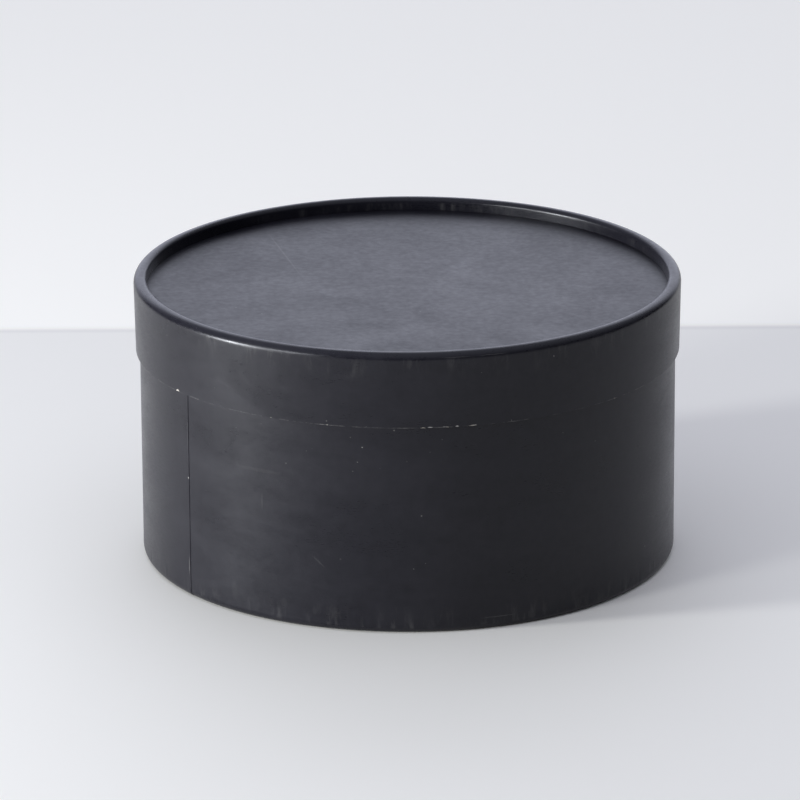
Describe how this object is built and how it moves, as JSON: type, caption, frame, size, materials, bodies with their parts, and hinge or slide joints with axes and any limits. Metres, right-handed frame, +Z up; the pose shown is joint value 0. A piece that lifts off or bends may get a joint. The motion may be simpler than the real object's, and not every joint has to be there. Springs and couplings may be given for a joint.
{
  "type": "hat box",
  "caption": "Round paperboard hat box: straight drum with rolled foot, deep lift-off lid with rolled rim and recessed top panel, black paper covering.",
  "frame": {"origin": "centre of the rolled foot, on the plane that the box stands on", "axes": "+Z up along the box's axis, -Y towards the front, +X to the right seen from the front"},
  "size_m": [0.2, 0.2, 0.1049],
  "materials": {
    "cover_paper": "satin",
    "grey_board": "matte",
    "lining_paper": "matte"
  },
  "bodies": {
    "base": {"base_wall_cover": "cover_paper", "base_wall_board": "grey_board", "base_wall_lining": "lining_paper", "floor_lining": "lining_paper", "floor_board": "grey_board", "floor_underside_paper": "lining_paper"},
    "lid": {"lid_skirt_cover": "cover_paper", "lid_skirt_board": "grey_board", "lid_skirt_lining": "lining_paper", "lid_panel_facing": "cover_paper", "lid_panel_board": "grey_board", "lid_panel_lining": "lining_paper"}
  },
  "joints": [
    {"name": "lid_lift", "type": "slide", "parent": "base", "child": "lid", "axis": [0, 0, 1], "range_m": [0, 0.12]}
  ]
}
